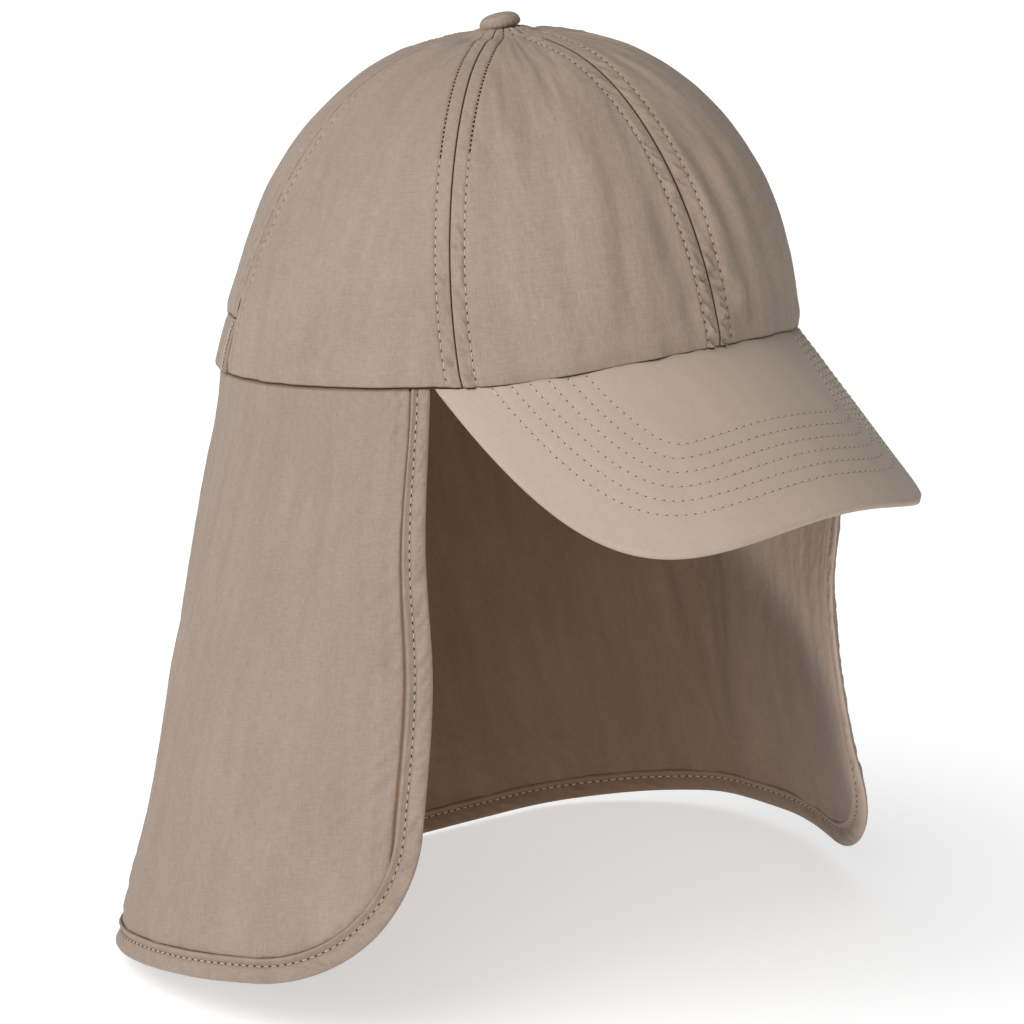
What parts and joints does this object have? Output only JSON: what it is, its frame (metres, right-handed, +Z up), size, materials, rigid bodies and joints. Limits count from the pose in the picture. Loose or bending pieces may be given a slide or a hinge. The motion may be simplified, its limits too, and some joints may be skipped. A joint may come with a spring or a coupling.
{
  "type": "six-panel sun cap with neck cape",
  "caption": "Soft six-panel sun cap in light tan cloth with a curved stitched peak, a gathered elastic back and a long neck cape with a turned hem.",
  "frame": {"origin": "middle of the head opening at the height of the rim, where the cap sits on a head", "axes": "+Z up through the crown, -Y forward over the peak, -X the wearer's right"},
  "size_m": [0.2611, 0.2552, 0.3008],
  "materials": {
    "crown_cloth": "fine plain weave, matte, light tan",
    "casing_cloth": "fine plain weave, gathered, light tan",
    "button_cloth": "fine plain weave over a hard core, light tan",
    "peak_cloth": "fine plain weave stretched smooth over a board, light tan",
    "cape_cloth": "fine plain weave, soft, light tan",
    "hem_cloth": "fine plain weave, folded and stitched, light tan"
  },
  "bodies": {
    "root": {"crown_panel_front_right": "crown_cloth", "crown_panel_front_left": "crown_cloth", "crown_panel_side_right": "crown_cloth", "crown_panel_side_left": "crown_cloth", "crown_panel_back_right": "crown_cloth", "crown_panel_back_left": "crown_cloth", "back_elastic_casing": "casing_cloth", "button": "button_cloth", "peak": "peak_cloth", "neck_cape": "cape_cloth", "cape_hem": "hem_cloth"}
  },
  "joints": []
}
